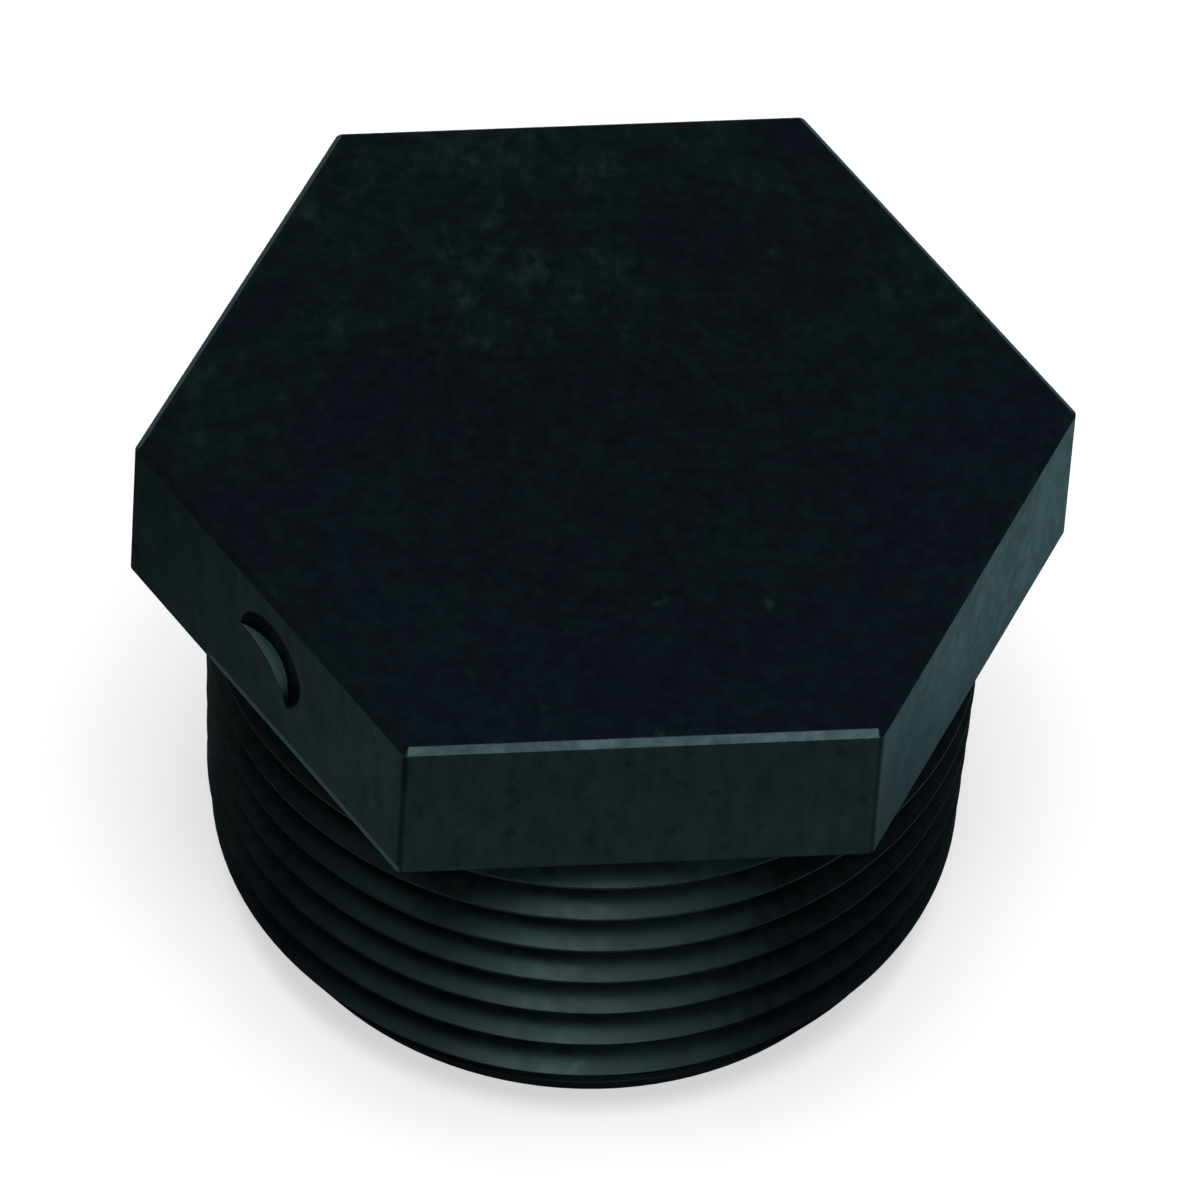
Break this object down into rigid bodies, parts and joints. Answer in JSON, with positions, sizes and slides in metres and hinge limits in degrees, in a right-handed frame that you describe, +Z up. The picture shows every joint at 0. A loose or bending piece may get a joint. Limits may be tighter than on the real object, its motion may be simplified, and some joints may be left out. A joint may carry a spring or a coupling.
{
  "type": "threaded pipe plug",
  "caption": "Plastic hexagon-head plug with a tapered male pipe thread, screwed in to close a threaded pipe end or port.",
  "frame": {"origin": "centre of the plug's open lower end, on the thread's axis, level with the surface it stands on", "axes": "+Z up along the thread's axis from the open end to the head's top; two flats of the hexagon face +Y and -Y, and two of its corners point along +X and -X"},
  "size_m": [0.0402, 0.035, 0.027],
  "materials": {
    "plug": "moulded, fine satin texture"
  },
  "bodies": {
    "root": {"plug": "plug"}
  },
  "joints": []
}
